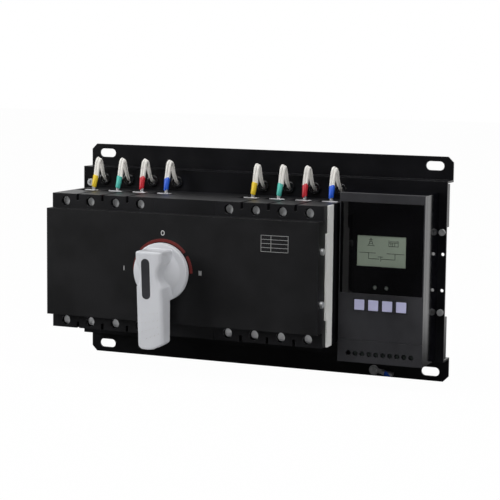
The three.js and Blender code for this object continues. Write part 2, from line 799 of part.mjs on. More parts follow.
function positionSwitch(x) {
  const [width, height, thick] = switchSize;
  const z = handleZ + driveRadius + 16;
  return join(
    block(x - width / 2, x + width / 2, mechOut, mechOut + thick, z - height / 2, z + height / 2),
    block(x - 1.5, x + 1.5, mechOut + 3, mechOut + 7, z - height / 2 - 1.5, z),
  );
}

add('drive_gear', driveGear(), 0xcfcabd, 0.5);
add('motor_pinion', motorPinion(), steel, 0.3, 0.9);
add('gear_motor', gearMotor(), 0x8f9296, 0.4, 0.7);
add('normal_position_switch', positionSwitch(handleX - driveRadius), 0x202022, 0.5);
add('reserve_position_switch', positionSwitch(handleX + driveRadius), 0x202022, 0.5);

// ---- Front cover and handle ----------------------------------------------------------------------

// A shallow hood. Its ends reach back beside the mechanism and are screwed to the plate's tabs.
function frontCover() {
  const inLeft = rowLeft + coverSheet;
  const inRight = rowRight - coverSheet;
  let body = cut(
    join(
      block(rowLeft, rowRight, terminalOut, coverOut, coverBottom, coverTop),
      block(rowLeft, rowRight, recessOut, coverOut, recessBottom + gap, recessTop - gap),
    ),
    block(inLeft, inRight, recessOut - 1, coverInner, coverBottom + coverSheet, coverTop - coverSheet),
    peg(handleX, handleZ, bushRadius + gap, coverInner - 1, coverOut + 1),
  );
  for (const side of [-1, 1]) {
    const z = breakerLevel + side * coverScrewSpread;
    body = cut(body, axle(coverOut - 8, z, screwShank + gap, rowLeft - 1, rowRight + 1, 12));
  }
  return body;
}

function shaftBush() {
  return cut(
    join(
      peg(handleX, handleZ, bushRadius, coverInner - 5, coverOut + gap),
      peg(handleX, handleZ, bushRadius + bushFlange, coverInner - gap - 2, coverInner - gap),
    ),
    peg(handleX, handleZ, shaftRadius + gap, coverInner - 10, coverOut + 10),
  );
}

add('front_cover', frontCover(), blackSteel, 0.45, 0.2);
add('shaft_bush', shaftBush(), 0xd8d6cf, 0.5);

const hubBack = coverOut + 2 * gap;
const hubFront = coverOut + 0.8 + hubThick;
const gripTop = handleZ + gripAbove;
const gripLow = handleZ - gripBelow;
const gripSlope = Math.atan2(gripFrontTop - gripFrontBottom, gripAbove + gripBelow);
const insetOut = coverOut + gripFrontTop - (gripAbove - insetLevel) * Math.tan(gripSlope);

// The inset's outline stands on the sloping face of the grip.
function insetSolid(grow, thick) {
  const shape = obround(0, 0, insetLength + 2 * grow, insetWidth + 2 * grow);
  const options = { depth: thick, bevelEnabled: false, curveSegments: 8 };
  const geometry = new THREE.ExtrudeGeometry(shape, options);
  geometry.rotateZ(Math.PI / 2);
  geometry.rotateX(Math.PI / 2);
  return geometry;
}

// A round hub with a domed boss, and a long grip across it that narrows at the thumb scallops.
function handleBody() {
  const profile = [
    [0, 0],
    [hubRadius, 0],
    [hubRadius, hubFront - hubBack - 1.5],
    [hubRadius - 1.5, hubFront - hubBack],
    [domeRadius, hubFront - hubBack],
    [domeTop, hubFront - hubBack + domeRise],
    [0, hubFront - hubBack + domeRise],
  ].map(([radius, height]) => new THREE.Vector2(radius, height));
  const turned = new THREE.LatheGeometry(profile, 48);
  turned.rotateX(Math.PI);
  turned.translate(handleX, -hubBack, handleZ);
  const outTop = coverOut + gripFrontTop;
  const outLow = coverOut + gripFrontBottom;
  const back = coverOut + gripBack;
  const side = polygon([
    [hubFront - 2, gripTop],
    [outTop - 1, gripTop],
    [outTop, gripTop - 1.5],
    [outLow, gripLow - 1],
    [back, gripLow - 1],
    [back, handleZ - hubRadius + 4],
    [hubFront - 2, handleZ - hubRadius + 6],
  ]);
  const half = gripWidth / 2;
  const face = new THREE.Shape();
  face.moveTo(handleX - half, gripTop);
  face.lineTo(handleX - half, gripLow + gripCorner / 2);
  face.quadraticCurveTo(handleX - half, gripLow, handleX - half + gripCorner, gripLow);
  face.quadraticCurveTo(handleX + gripCorner / 3, gripLow, handleX + half, gripLow + gripSlant);
  face.lineTo(handleX + half, gripTop);
  const scallopX = half - gripWaist + gripScallop;
  const grip = cut(
    sideOutline(side, handleX - half, handleX + half)
      .intersect(frontOutline(face, hubBack, coverOut + deep)),
    peg(handleX - scallopX, handleZ, gripScallop, hubFront, coverOut + deep, 40),
    peg(handleX + scallopX, handleZ, gripScallop, hubFront, coverOut + deep, 40),
  );
  const pocket = insetSolid(gap, insetThick + 5);
  pocket.rotateX(gripSlope);
  pocket.translate(handleX - insetShift, -(insetOut - insetThick - gap), handleZ + insetLevel);
  return cut(
    join(solid(turned), grip),
    peg(handleX, handleZ, shaftRadius + gap, coverOut, hubFront + domeRise - 4),
    solid(pocket),
  );
}

function handleShaft() {
  return join(
    peg(handleX, handleZ, shaftRadius, recessOut - 4, hubFront + domeRise - 4 - gap),
    peg(handleX, handleZ, shaftRadius + 3, driveOut + 4 + gap, driveOut + 6),
  );
}

add('handle', handleBody(), silver, 0.4);
add('handle_shaft', handleShaft(), steel, 0.3, 0.9);

const insetPlace = new THREE.Group();
insetPlace.position.set(handleX - insetShift, -(insetOut - insetThick), handleZ + insetLevel);
insetPlace.rotation.x = gripSlope;
model.add(insetPlace);
add('handle_inset', solid(insetSolid(0, insetThick)), 0x3a3b40, 0.35, 0, insetPlace);

// Cover screws lie along X, heads outside the cover's ends.
function coverScrew(end, z) {
  const out = coverOut - 8;
  const face = end < 0 ? rowLeft : rowRight;
  const head = [face, face + end * screwHeadHeight].sort((a, b) => a - b);
  const shank = [face + end, face - end * (coverSheet + sheet + 3)].sort((a, b) => a - b);
  const slotX = [face + end * (screwHeadHeight - 1), face + end * (screwHeadHeight + 1)];
  slotX.sort((a, b) => a - b);
  return cut(
    join(axle(out, z, screwHead, ...head), axle(out, z, screwShank, ...shank, 12)),
    block(...slotX, out - 1.8, out + 1.8, z - 0.5, z + 0.5),
    block(...slotX, out - 0.5, out + 0.5, z - 1.8, z + 1.8),
  );
}

for (const [sideName, end] of [['left', -1], ['right', 1]]) {
  for (const [level, side] of [['upper', 1], ['lower', -1]]) {
    const z = breakerLevel + side * coverScrewSpread;
    add(`cover_screw_${sideName}_${level}`, coverScrew(end, z), zinc, 0.3, 0.9);
  }
}

// ---- Controller ----------------------------------------------------------------------------------

const innerLeft = controllerLeft + wall;
const innerRight = controllerRight - wall;
const boardTop = controllerTop - wall - 3;
const boardBottom = controllerBottom + wall + 3;
const terminalSpan = (terminalCount * terminalPitch) / 2;
const wireOut = [boardOut + 1, controllerOut - 3];
const keyZ = controllerTop - keyDrop;
const keys = [...Array(4).keys()].map((i) => controllerX + (i - 1.5) * keySpacing);
const leds = [controllerX - ledSpacing / 2, controllerX + ledSpacing / 2];
const ledZ = windowTop - ledDrop;
const lcdX = controllerX + lcdOffset;
const lcdTop = windowTop - lcdDrop;
const terminals = [...Array(terminalCount).keys()]
  .map((i) => controllerX + (i - (terminalCount - 1) / 2) * terminalPitch);

// The deep tray that stands on the plate, with a post for each corner of the circuit board.
function controllerBase() {
  let body = cut(
    block(controllerLeft, controllerRight, plateRise, shellBack, controllerBottom, controllerTop),
    block(innerLeft, innerRight, plateRise + wall, shellBack + 1, controllerBottom + wall,
      controllerTop - wall),
    peg(loomX, loomZ, loomRadius + 2, plateRise - 1, plateRise + wall + 1),
    peg(cableX, cableZ, cableRadius + 2, plateRise - 1, plateRise + wall + 1),
  );
  for (const x of [innerLeft + 7, innerRight - 7]) {
    for (const z of [boardTop - 4, boardBottom + 4]) {
      body = join(body, peg(x, z, boardPost, plateRise + 1, boardOut - boardThick, 16));
    }
  }
  return body;
}

// The front frame: window seat, key holes and lamp holes.
function controllerFront() {
  let body = cut(
    block(controllerLeft, controllerRight, shellBack, controllerOut, terminalSplit, controllerTop),
    block(innerLeft, innerRight, shellBack - 1, controllerOut - wall, terminalSplit - 1,
      controllerTop - wall),
    block(controllerLeft + 1.2, controllerRight - 1.2, controllerOut - windowThick - gap / 2,
      controllerOut + 1, windowBottom - gap / 2, windowTop + gap / 2),
    block(lcdX - lcdWidth / 2 - 1, lcdX + lcdWidth / 2 + 1, shellBack, controllerOut,
      lcdTop - lcdHeight - 1, lcdTop + 1),
  );
  for (const x of keys) {
    const half = keySize / 2 + gap;
    body = cut(body, block(x - half, x + half, shellBack, controllerOut + 1, keyZ - half, keyZ + half));
  }
  for (const x of leds) {
    body = cut(body, peg(x, ledZ, ledRadius + gap, shellBack, controllerOut + 1, 16));
  }
  return body;
}

function controllerWindow() {
  const back = controllerOut - windowThick;
  let body = cut(
    block(controllerLeft + 1.2 + gap / 2, controllerRight - 1.2 - gap / 2, back, controllerOut,
      windowBottom, windowTop),
    block(lcdX - lcdWidth / 2, lcdX + lcdWidth / 2, back - 1, controllerOut + 1, lcdTop - lcdHeight,
      lcdTop),
  );
  for (const x of leds) {
    body = cut(body, peg(x, ledZ, ledRadius + gap, back - 1, controllerOut + 1, 16));
  }
  return body;
}

// The removable strip over the terminals, with a screwdriver hole at each of them.
function terminalCover() {
  let body = cut(
    block(controllerLeft, controllerRight, shellBack, controllerOut, controllerBottom,
      terminalSplit - gap),
    block(innerLeft, innerRight, shellBack - 1, controllerOut - wall, controllerBottom + wall,
      terminalSplit + 1),
    block(controllerX - terminalSpan, controllerX + terminalSpan, ...wireOut, controllerBottom - 1,
      controllerBottom + wall + 1),
  );
  for (const x of terminals) {
    body = cut(body, peg(x, terminalZ, terminalHole, shellBack, controllerOut + 1, 16));
  }
  return body;
}

function terminalBlock() {
  const low = controllerBottom + wall + gap;
  const top = controllerOut - wall - gap;
  let body = block(controllerX - terminalSpan, controllerX + terminalSpan, boardOut, top,
    low, terminalZ + 7);
  for (const x of terminals) {
    body = cut(
      body,
      peg(x, terminalZ, terminalHole - 0.4, top - 2.5, top + 1, 12),
      block(x - 2.6, x + 2.6, boardOut + 1.2, top - 3, low - 1, low + 3.5),
    );
  }
  return body;
}

function circuitBoard() {
  return cut(
    block(innerLeft + 2, innerRight - 2, boardOut - boardThick, boardOut, boardBottom, boardTop),
    block(innerLeft, innerLeft + 9, boardOut - 3, boardOut + 1, -12, 6),
  );
}

function powerTransformer() {
  const back = boardOut - boardThick;
  const z = controllerBottom + 55;
  return join(
    block(controllerX - 16, controllerX + 16, back - 24, back - 1, z - 14, z + 14),
    block(controllerX - 11, controllerX + 11, back - 26, back, z - 19, z + 19),
  );
}

function lcdPanel() {
  return join(
    block(lcdX - lcdWidth / 2 + gap, lcdX + lcdWidth / 2 - gap, boardOut, controllerOut - 0.6,
      lcdTop - lcdHeight + gap, lcdTop - gap),
  );
}

function controllerKey(x) {
  const half = keySize / 2;
  const under = controllerOut - wall - gap;
  return join(
    block(x - half, x + half, under - 1, controllerOut + keyProud, keyZ - half, keyZ + half),
    block(x - half - 1.1, x + half + 1.1, under - 1, under, keyZ - half - 1.1, keyZ + half + 1.1),
    peg(x, keyZ, 2, boardOut + keyTravel + gap, under, 16),
  );
}

add('controller_base', controllerBase(), 0x26262a, 0.3);
add('controller_front', controllerFront(), darkGrey, 0.55);
add('controller_window', controllerWindow(), 0x050506, 0.08);
add('terminal_cover', terminalCover(), darkGrey, 0.55);
add('terminal_block', terminalBlock(), 0x2c2d30, 0.5);
add('circuit_board', circuitBoard(), 0x1d5a38, 0.5);
add('power_transformer', powerTransformer(), 0x77747a, 0.5, 0.5);
add('lcd_panel', lcdPanel(), 0x7f8f78, 0.25);
keys.forEach((x, index) => add(`key_${index + 1}`, controllerKey(x), 0xb4b4dc, 0.5));
leds.forEach((x, index) => {
  add(`indicator_${index + 1}`, peg(x, ledZ, ledRadius, boardOut, controllerOut - 0.2, 16), 0x8f9a90, 0.2);
});

// ---- Leads and cables -----------------------------------------------------------------------------

// A sense lead: a flat lug on the terminal pad, then an arch of sleeved wire through the plate.
function senseLead(x) {
  const rise = breakerTop + 1.5;
  const out = padOut + 1.6;
  const lug = cut(
    block(x - lugWidth / 2, x + lugWidth / 2, padOut + gap, padOut + gap + 1, breakerTop - 14, rise + 1),
    peg(x, breakerTop - driverInset, 2.6, padOut, padOut + 2, 12),
  );
  const arch = wire([
    [x, out, rise],
    [x, out, rise + 13],
    [x, out - 1.5, rise + 25],
    [x, out - 6, rise + 32.5],
    [x, out - 10.5, rise + 32.6],
    [x + 0.5, out - 15, rise + 26.5],
    [x + 1, out - 18, rise + 17],
    [x + leadShift - 1, plateRise + 1, leadHeight + 0.6],
    [x + leadShift - 1, plateRise - 3, leadHeight],
    [x + leadShift - 1, cableOut + loomRadius + gap, leadHeight],
  ], leadRadius, 18, 6);
  return join(lug, arch);
}

for (const [name, middle] of Object.entries(breakers)) {
  poles.forEach((pole, index) => {
    add(`${name}_sense_lead_${index + 1}`, senseLead(middle + pole), 0xe6e2da, 0.8);
  });
}

// Both cables run behind the raised plate and come forward into the controller.
add('sense_loom', wire([
  [breakers.normal + poles[0] - 6, cableOut, leadHeight],
  [breakers.normal, cableOut, leadHeight],
  [breakers.reserve, cableOut, leadHeight],
  [loomX - 20, cableOut, leadHeight],
  [loomX - 4, cableOut, leadHeight - 5],
  [loomX, cableOut, leadHeight - 18],
  [loomX, cableOut + 1.5, loomZ + 9],
  [loomX, cableOut + 8, loomZ + 0.6],
  [loomX, plateRise, loomZ],
  [loomX, plateRise + 12, loomZ],
], loomRadius, 30), 0x2b2b2e, 0.7);

add('mechanism_cable', wire([
  [motorX, recessOut - motorLength - gap, cableZ],
  [motorX, plateRise, cableZ],
  [motorX + 1, cableOut + 4, cableZ],
  [motorX + 8, cableOut, cableZ],
  [(motorX + cableX) / 2, cableOut, cableZ],
  [cableX - 8, cableOut, cableZ],
  [cableX - 1, cableOut + 4, cableZ],
  [cableX, plateRise, cableZ],
  [cableX, plateRise + 12, cableZ],
], cableRadius, 30), 0x2b2b2e, 0.7);

// ---- Earth terminal and plate screws ----------------------------------------------------------------

// A ring terminal with an insulated barrel, on the lower flange.
function earthLug() {
  const ring = peg(0, 0, 5.5, gap, gap + 1);
  const tongue = block(2, 12, gap, gap + 1, -2.6, 2.6);
  const geometry = new THREE.CylinderGeometry(2.9, 2.6, 12, 16);
  geometry.rotateZ(-Math.PI / 2);
  geometry.translate(16.5, -(gap + 2.9), 0);
  const body = cut(join(ring, tongue, solid(geometry)), peg(0, 0, screwShank + gap, -1, 3, 12));
  return body;
}

const earth = new THREE.Group();
earth.position.set(earthX, -sheet, earthZ);
earth.rotation.y = THREE.MathUtils.degToRad(8);
model.add(earth);
add('earth_lug', earthLug(), silver, 0.3, 0.9, earth);
add('earth_screw', panScrew(earthX, earthZ, sheet + 2 * gap + 1, 5, 4.2), zinc, 0.3, 0.9);

const marginX = controllerRight + rightMargin / 2;
const marginZ = coverScrewSpread + 15;
add('plate_screw_upper', panScrew(marginX, marginZ, plateRise, 6), zinc, 0.3, 0.9);
add('plate_screw_lower', panScrew(marginX, -marginZ, plateRise, 6), zinc, 0.3, 0.9);
add('plate_screw_left', panScrew(rowLeft + 1.5, breakerTop + 5.5, plateRise, 6, 4), zinc, 0.3, 0.9);

export default model;
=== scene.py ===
# %% [markdown]
# # An automatic transfer switch
# Two circuit breakers stand side by side on a black steel plate. A motor mechanism between
# them, or the silver handle, closes one or the other, and the box at the right decides when.
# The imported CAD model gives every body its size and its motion. This notebook dresses it:
# finishes for the moulded, painted and plated parts, and the small pieces that a CAD solid
# leaves out. All lengths are written in millimetres and turned into metres in one place.

# %% Load the frame
import json
import math

import bmesh
import bpy
import numpy as np
from mathutils import Matrix, Vector


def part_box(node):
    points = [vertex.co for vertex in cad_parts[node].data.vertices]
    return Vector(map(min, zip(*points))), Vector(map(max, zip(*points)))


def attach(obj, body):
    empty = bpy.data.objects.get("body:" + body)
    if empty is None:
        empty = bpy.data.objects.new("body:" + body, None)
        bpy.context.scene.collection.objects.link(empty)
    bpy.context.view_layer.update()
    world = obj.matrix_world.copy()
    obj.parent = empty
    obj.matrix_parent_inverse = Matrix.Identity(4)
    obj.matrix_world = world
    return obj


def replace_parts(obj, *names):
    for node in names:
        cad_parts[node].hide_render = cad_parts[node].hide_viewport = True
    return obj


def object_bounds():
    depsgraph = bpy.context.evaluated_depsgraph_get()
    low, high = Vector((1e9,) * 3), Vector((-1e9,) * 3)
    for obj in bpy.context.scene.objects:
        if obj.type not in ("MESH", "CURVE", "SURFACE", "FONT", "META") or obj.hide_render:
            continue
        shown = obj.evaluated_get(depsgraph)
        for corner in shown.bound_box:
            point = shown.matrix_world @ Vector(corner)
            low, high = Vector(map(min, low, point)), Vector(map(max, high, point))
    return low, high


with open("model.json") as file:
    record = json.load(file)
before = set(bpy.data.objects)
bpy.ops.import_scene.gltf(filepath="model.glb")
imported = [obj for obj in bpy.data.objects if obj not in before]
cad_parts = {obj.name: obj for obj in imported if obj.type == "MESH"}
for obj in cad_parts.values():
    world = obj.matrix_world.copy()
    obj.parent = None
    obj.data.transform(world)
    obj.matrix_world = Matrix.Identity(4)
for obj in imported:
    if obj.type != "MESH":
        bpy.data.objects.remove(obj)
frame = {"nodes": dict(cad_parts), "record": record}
cad_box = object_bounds()
MM = 0.001
print("CAD box:", [[round(v, 4) for v in corner] for corner in cad_box])

# %% [markdown]
# ## Camera
# The plate hangs in the plane y = 0 and the front faces -Y. The camera stands about 1.9 m
# away, a little to the right and a little above, with a long lens, so that the verticals
# stay nearly parallel. Its turn and height are angles; its place follows from them.

# %% Camera
azimuth, elevation, roll = (math.radians(v) for v in (23.009, 6.968, 0.636))
focal, sensor, frame_width = 1700.704, 36.0, 500
towards = Vector((math.sin(azimuth) * math.cos(elevation),
                  -math.cos(azimuth) * math.cos(elevation), math.sin(elevation)))
level = Vector((0, 0, 1)).cross(towards).normalized()
upright = towards.cross(level)
right = math.cos(roll) * level + math.sin(roll) * upright
upward = math.cos(roll) * upright - math.sin(roll) * level
stand = (-16.081 * right + 9.155 * upward + 1880.616 * towards) * MM

camera_data = bpy.data.cameras.new("camera")
camera_data.sensor_width = sensor
camera_data.lens = focal * sensor / frame_width
camera = bpy.data.objects.new("camera", camera_data)
turn = Matrix((right, upward, towards)).transposed().to_4x4()
camera.matrix_world = Matrix.Translation(stand) @ turn
bpy.context.collection.objects.link(camera)
bpy.context.scene.camera = camera
print("lens", round(camera_data.lens, 1), "mm, at", [round(v, 3) for v in stand])

# %% [markdown]
# ## Writing shader maths as Python
# A shader is a web of nodes. Written out link by link it is long and hard to read, so a
# small class wraps one output socket and turns `a * b` or `1 - mask` into Math nodes.
# Colours would lose their hue in a Math node, so they go through `blend_colour`, a Mix node.

# %% A class for sockets
class Value:
    """One output socket. On it + - * add Math nodes, and `math` adds any other operation."""

    def __init__(self, tree, socket):
        self.tree, self.socket = tree, socket

    def math(self, operation, *others, clamp=False):
        node = make(self.tree, "ShaderNodeMath", {"operation": operation, "use_clamp": clamp},
                    dict(enumerate([self, *others])))
        return Value(self.tree, node.outputs[0])

    def __add__(self, other): return self.math("ADD", other)
    __radd__ = __add__
    def __mul__(self, other): return self.math("MULTIPLY", other)
    __rmul__ = __mul__
    def __sub__(self, other): return self.math("SUBTRACT", other)
    def __rsub__(self, other): return (self * -1) + other
    def clamped(self): return self.math("ADD", 0.0, clamp=True)

    def between(self, low, high):
        """Smoothly 0 at `low` and 1 at `high`."""
        node = make(self.tree, "ShaderNodeMapRange", {"interpolation_type": "SMOOTHSTEP"},
                    {"Value": self, "From Min": low, "From Max": high})
        return Value(self.tree, node.outputs[0])


def make(tree, kind, settings=None, inputs=None):
    """Adds one node: its settings first, then a number, colour or link for each named socket."""
    node = tree.nodes.new(kind)
    for key, value in (settings or {}).items():
        setattr(node, key, value)
    for key, value in (inputs or {}).items():
        if isinstance(value, Value):
            tree.links.new(value.socket, node.inputs[key])
        elif isinstance(value, (tuple, list)) and node.inputs[key].type == "RGBA":
            node.inputs[key].default_value = (*value, 1.0)[:4]
        else:
            node.inputs[key].default_value = value
    return node


def out(node, socket=0):
    """One output of a node, ready for + - *."""
    return Value(node.id_data, node.outputs[socket])


# %% Noise, colour and edges
def noise(tree, per_metre, detail=2.0, rough=0.5, stretch=(1, 1, 1)):
    """Noise on the object's own coordinates, with `per_metre` grains in a metre."""
    place = out(make(tree, "ShaderNodeTexCoord"), "Object")
    spread = make(tree, "ShaderNodeVectorMath", {"operation": "MULTIPLY"}, {0: place, 1: stretch})
    return out(make(tree, "ShaderNodeTexNoise", {"noise_dimensions": "3D"},
                    {"Vector": out(spread), "Scale": per_metre, "Detail": detail,
                     "Roughness": rough}), "Fac")


def blend_colour(tree, factor, first, second):
    """The first colour where `factor` is 0 and the second where it is 1."""
    return out(make(tree, "ShaderNodeMix", {"data_type": "RGBA"},
                    {0: factor, 6: first, 7: second}), 2)


def edges(tree, radius_mm):
    """0 on the flat and towards 1 at a sharp edge: how far a rounded normal leans from the true."""
    round_normal = out(make(tree, "ShaderNodeBevel", {"samples": 4}, {"Radius": radius_mm * MM}))
    true_normal = out(make(tree, "ShaderNodeNewGeometry"), "True Normal")
    lean = make(tree, "ShaderNodeVectorMath", {"operation": "DOT_PRODUCT"},
                {0: round_normal, 1: true_normal})
    return (1 - out(lean, "Value")).between(0.02, 0.25), round_normal


# %% [markdown]
# ## One recipe for every finish
# A real surface is never one colour. It drifts in broad patches, has a fine grain that breaks
# up its highlights, and here gets a painted highlight: a paler tone along its edges. `finish`
# builds those three layers on a Principled shader, so that a material is one line of numbers.

# %% The recipe
materials = {}
patches = 18  # broad patches of colour in a metre


def finish(name, colour, rough, *, shift=0.25, grain=2200, grain_mm=0.01, rough_shift=0.08,
           metal=0.0, coat=0.0, edge_highlight=0.35, edge_mm=0.5, specular=0.5, streak=(1, 1, 1),
           extra=None):
    """A surface whose colour drifts by `shift`, with `grain` grains in a metre that stand
    `grain_mm` high, and a painted highlight that makes its edges paler by a share from 0 to 1."""
    material = bpy.data.materials.new(name)
    material.use_nodes = True
    tree = material.node_tree
    shader = tree.nodes["Principled BSDF"]
    drift = noise(tree, patches, 3, 0.6, streak)
    fine = noise(tree, grain, 2, 0.5, streak)
    edge, round_normal = edges(tree, edge_mm)
    darker = tuple(v * (1 - shift) for v in colour)
    lighter = tuple(min(1.0, v * (1 + shift) + 0.001) for v in colour)
    tone = blend_colour(tree, drift.between(0.3, 0.7), darker, lighter)
    # Painted highlight: edges found by the bevel mask are blended towards a paler tone.
    bright = tuple(min(1.0, v * 1.25 + 0.035) for v in colour)
    tone = blend_colour(tree, edge * edge_highlight, tone, bright)
    roughness = (drift - 0.5) * rough_shift + (fine - 0.5) * (rough_shift * 0.5) + rough
    if extra:
        tone, roughness = extra(tree, tone, roughness)
    bump = make(tree, "ShaderNodeBump", inputs={
        "Strength": 1.0, "Distance": grain_mm * MM, "Height": fine, "Normal": round_normal})
    tree.links.new(tone.socket, shader.inputs["Base Color"])
    tree.links.new(roughness.clamped().socket, shader.inputs["Roughness"])
    tree.links.new(bump.outputs[0], shader.inputs["Normal"])
    shader.inputs["Metallic"].default_value = metal
    shader.inputs["Specular IOR Level"].default_value = specular
    shader.inputs["Coat Weight"].default_value = coat
    shader.inputs["Coat Roughness"].default_value = 0.08
    materials[name] = material
    return material

# %% [markdown]
# ## Finishes
# Each finish is one call. The blacks differ: the plate is glossy enamel, the front cover is
# satin paint, the breakers are fine-grained moulding. The controller's front is dark grey,
# but its right side is polished black, so that part is told apart by the way it faces.

# %% Finishes for the CAD nodes
def glossy_side(tree, tone, roughness):
    """Faces that look to +X are darker and smoother than the rest of the shell."""
    facing = make(tree, "ShaderNodeSeparateXYZ",
                  inputs={0: out(make(tree, "ShaderNodeNewGeometry"), "True Normal")})
    side = out(facing, "X").between(0.4, 0.6)
    return (blend_colour(tree, side, tone, (0.006, 0.006, 0.009)),
            roughness * (1 - side * 0.72))


# In these calls, the share that pales the edges sets a painted highlight on them.
finish("plate_paint", (0.0045, 0.0045, 0.0058), 0.3, grain=900, grain_mm=0.02, specular=0.32,
       edge_highlight=0.22)
finish("cover_paint", (0.0075, 0.0075, 0.0085), 0.46, grain=1600, grain_mm=0.03, specular=0.3,
       edge_highlight=0.3)
finish("moulding", (0.007, 0.007, 0.0085), 0.42, grain=1800, grain_mm=0.02, specular=0.32)
finish("bare_steel", (0.55, 0.56, 0.58), 0.34, metal=1.0, shift=0.1, streak=(1, 1, 14))
finish("gear_plastic", (0.72, 0.7, 0.62), 0.5, shift=0.06)
finish("motor_body", (0.45, 0.45, 0.47), 0.36, metal=0.9, shift=0.1)
finish("handle_silver", (0.6, 0.61, 0.64), 0.33, grain=3200, grain_mm=0.01, shift=0.03, edge_highlight=0.5,
       edge_mm=1.2, coat=0.2)
finish("handle_inset", (0.03, 0.03, 0.035), 0.35, edge_highlight=0.5)
finish("insulator", (0.84, 0.84, 0.82), 0.45, shift=0.04)
finish("controller_black", (0.004, 0.004, 0.006), 0.12, grain=1400, grain_mm=0.003,
       specular=0.5, edge_highlight=0.2)
finish("controller_grey", (0.028, 0.028, 0.032), 0.48, grain=2600, grain_mm=0.02, specular=0.4,
       extra=glossy_side)
finish("window_black", (0.0015, 0.0015, 0.002), 0.06, grain=300, grain_mm=0.001,
       rough_shift=0.02, specular=0.4, edge_highlight=0.15)
finish("board", (0.02, 0.12, 0.05), 0.4)
finish("display", (0.2, 0.24, 0.19), 0.25, shift=0.08, grain=4000, grain_mm=0.004)
finish("cable_jacket", (0.012, 0.012, 0.013), 0.5, grain=900, grain_mm=0.05)
finish("tinned", (0.72, 0.72, 0.73), 0.4, metal=0.8, shift=0.08)
finish("toggle", (0.018, 0.018, 0.02), 0.45)
finish("contact_copper", (0.5, 0.24, 0.12), 0.35, metal=0.9)
finish("trip_red", (0.42, 0.03, 0.02), 0.45)
finish("sleeving", (0.78, 0.76, 0.72), 0.75, shift=0.06, grain=1500, grain_mm=0.15)
finish("zinc", (0.74, 0.75, 0.76), 0.42, metal=0.7, shift=0.12, grain=900)
finish("key", (0.5, 0.5, 0.72), 0.45, shift=0.04, edge_highlight=0.6)
finish("indicator", (0.12, 0.13, 0.12), 0.15, shift=0.05)

for entry in frame["record"]["subparts"]:
    node = frame["nodes"][entry["node"]]
    node.data.materials.clear()
    node.data.materials.append(materials[entry["material_slot"]])
print(len(materials), "finishes on", len(frame["nodes"]), "nodes")

# %% [markdown]
# ## Finishes for the small pieces
# These belong to what the CAD model leaves out: printed marks, rubber, screws and the four
# sleeve colours. The order of the sleeves tells the phases, and blue is neutral.

# %% Finishes for the small pieces
finish("enamel_red", (0.15, 0.012, 0.01), 0.4, shift=0.12)
finish("print_white", (0.6, 0.6, 0.6), 0.5, shift=0.05)
finish("display_ink", (0.012, 0.016, 0.012), 0.5)
finish("grommet_rubber", (0.004, 0.004, 0.005), 0.22, specular=0.6)
finish("screw_grey", (0.78, 0.79, 0.8), 0.5, metal=0.1, shift=0.1, grain=700)
finish("terminal_screw", (0.03, 0.04, 0.036), 0.4, metal=0.4)
sleeves = {"yellow": (0.8, 0.56, 0.02), "teal": (0.07, 0.5, 0.42),
           "red": (0.5, 0.008, 0.02), "blue": (0.012, 0.1, 0.62)}
# The sleeves too get a weaker painted highlight on their edges.
for name, colour in sleeves.items():
    finish(f"sleeve_{name}", colour, 0.38, shift=0.06, grain=900, edge_highlight=0.2)
print(len(materials), "finishes in all")

# %% [markdown]
# ## Surfaces from rings of points
# Every small piece is a row of closed rings, each joined to the next. A screw is a row of
# circles, a tube is circles square to a path, and the grip is rounded rectangles that change
# from the top of the grip to its tip. The first and last rings are capped.

# %% Joining rings
def at(x, out_from_wall, z):
    """Points in the object's frame: `out_from_wall` is the distance in front of the wall."""
    return np.stack(np.broadcast_arrays(x, -np.asarray(out_from_wall, float), z), -1)


def skin(rings, loop=False):
    """A closed surface: point j of ring i joins point j of ring i + 1. With `loop` the last
    ring joins the first; otherwise both are capped."""
    rings = np.asarray(rings, float)
    steps, around = rings.shape[:2]
    rows = np.arange(steps if loop else steps - 1)
    i, j = np.meshgrid(rows, np.arange(around), indexing="ij")
    after, side = (i + 1) % steps, (j + 1) % around
    quads = np.stack([i * around + j, i * around + side, after * around + side,
                      after * around + j], -1).reshape(-1, 4).tolist()
    last = (steps - 1) * around
    caps = [] if loop else [list(range(around))[::-1], list(range(last, last + around))]
    return rings.reshape(-1, 3), quads + caps


# %% Making a piece
def piece(name, surfaces, finish_name, body="frame", sharp=38):
    """One object from several closed surfaces in millimetres, with normals facing outwards."""
    points, faces, start = [], [], 0
    for skin_points, skin_faces in surfaces:
        points.append(skin_points)
        faces += [[start + corner for corner in face] for face in skin_faces]
        start += len(skin_points)
    mesh = bpy.data.meshes.new(name)
    mesh.from_pydata((np.concatenate(points) * MM).tolist(), [], faces)
    work = bmesh.new()
    work.from_mesh(mesh)
    bmesh.ops.recalc_face_normals(work, faces=work.faces)
    work.to_mesh(mesh)
    work.free()
    mesh.shade_smooth()
    mesh.set_sharp_from_angle(angle=math.radians(sharp))
    mesh.materials.append(materials[finish_name])
    made = bpy.data.objects.new(name, mesh)
    bpy.context.collection.objects.link(made)
    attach(made, body)
    return made


def middle(node):
    """The centre of a CAD node at rest, in millimetres: x, out from the wall, z."""
    low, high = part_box(node)
    centre = (low + high) / 2 / MM
    return centre.x, -centre.y, centre.z


# %% [markdown]
# ## The shapes that repeat
# Screws, lugs, tubes and printed lines are made many times, so each kind has a function that
# works out its rings as whole arrays. A turned part is a profile of radius and depth, a slab is
# a rounded rectangle at four depths, and a rod is a circle carried along a path.

